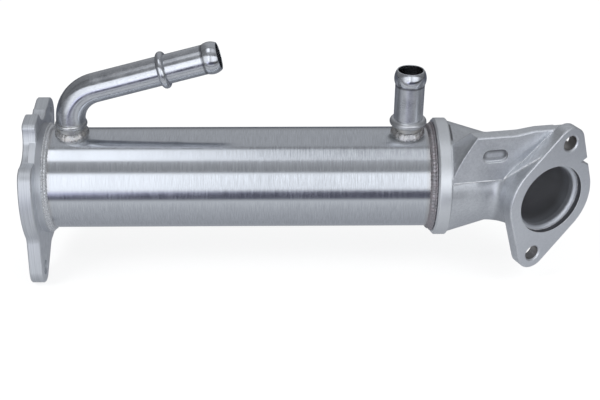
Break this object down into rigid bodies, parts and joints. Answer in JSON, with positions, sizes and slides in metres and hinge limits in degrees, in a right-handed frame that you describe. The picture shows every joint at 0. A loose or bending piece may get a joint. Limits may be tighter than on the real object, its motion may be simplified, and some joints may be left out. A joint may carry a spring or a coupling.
{
  "type": "exhaust gas recirculation cooler",
  "caption": "Round shell-and-tube exhaust gas cooler with an eared inlet flange, two hose pipes and a cast outlet elbow with a slanted two-bolt flange.",
  "frame": {"origin": "centre of the outer face of the inlet flange, on the axis of the round shell", "axes": "+X along the shell towards the outlet elbow, +Z the side of the two hose pipes, -Y the side that the outlet port faces"},
  "size_m": [0.333, 0.0853, 0.1415],
  "materials": {
    "shell_steel": "drawn stainless tube, fine brushing round the tube",
    "flange_steel": "cut plate, satin faces and brushed rim",
    "cast_steel": "blasted casting with a machined port face",
    "pipe_steel": "bright bent tube with a light heat tint at the foot",
    "weld_steel": "rippled weld bead with a brown heat tint",
    "core_steel": "plain stainless tube and sheet"
  },
  "bodies": {
    "root": {"inlet_flange": "flange_steel", "shell_tube": "shell_steel", "outlet_elbow": "cast_steel", "coolant_inlet_pipe": "pipe_steel", "coolant_outlet_pipe": "pipe_steel", "inlet_flange_weld": "weld_steel", "outlet_elbow_weld": "weld_steel", "inlet_pipe_weld": "weld_steel", "outlet_pipe_weld": "weld_steel", "inlet_header_plate": "core_steel", "outlet_header_plate": "core_steel", "baffle_1": "core_steel", "baffle_2": "core_steel", "gas_tube_01": "core_steel", "gas_tube_02": "core_steel", "gas_tube_03": "core_steel", "gas_tube_04": "core_steel", "gas_tube_05": "core_steel", "gas_tube_06": "core_steel", "gas_tube_07": "core_steel", "gas_tube_08": "core_steel", "gas_tube_09": "core_steel", "gas_tube_10": "core_steel", "gas_tube_11": "core_steel", "gas_tube_12": "core_steel", "gas_tube_13": "core_steel", "gas_tube_14": "core_steel", "gas_tube_15": "core_steel", "gas_tube_16": "core_steel", "gas_tube_17": "core_steel", "gas_tube_18": "core_steel", "gas_tube_19": "core_steel"}
  },
  "joints": []
}
